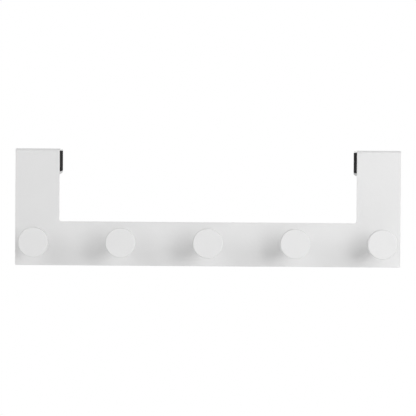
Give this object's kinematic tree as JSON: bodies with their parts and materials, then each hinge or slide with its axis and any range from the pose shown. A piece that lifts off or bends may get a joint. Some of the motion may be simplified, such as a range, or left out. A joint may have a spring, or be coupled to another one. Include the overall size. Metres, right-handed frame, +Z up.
{
  "type": "over door hook",
  "caption": "Folded sheet rail that hangs over a door by an arm at each end, with round flat-faced knobs along its bar and rubber pads on the lips behind the door.",
  "frame": {"origin": "middle of the door's top front edge: halfway between the arms, on the plane of the rail's back face and on the plane of the bridges' undersides", "axes": "+Z up, +Y into the door from the knob side, knobs towards -Y, +X to the right as seen from the knob side"},
  "size_m": [0.35, 0.0858, 0.106],
  "materials": {
    "rail_coat": "white satin powder coat on folded sheet steel",
    "knob_coat": "white satin powder coat on turned aluminium",
    "screw_zinc": "bright zinc plate",
    "pad_rubber": "black die-cut rubber sheet"
  },
  "bodies": {
    "root": {"door_rail": "rail_coat", "knob_1": "knob_coat", "knob_2": "knob_coat", "knob_3": "knob_coat", "knob_4": "knob_coat", "knob_5": "knob_coat", "knob_screws": "screw_zinc", "lip_pad_left": "pad_rubber", "lip_pad_right": "pad_rubber"}
  },
  "joints": []
}
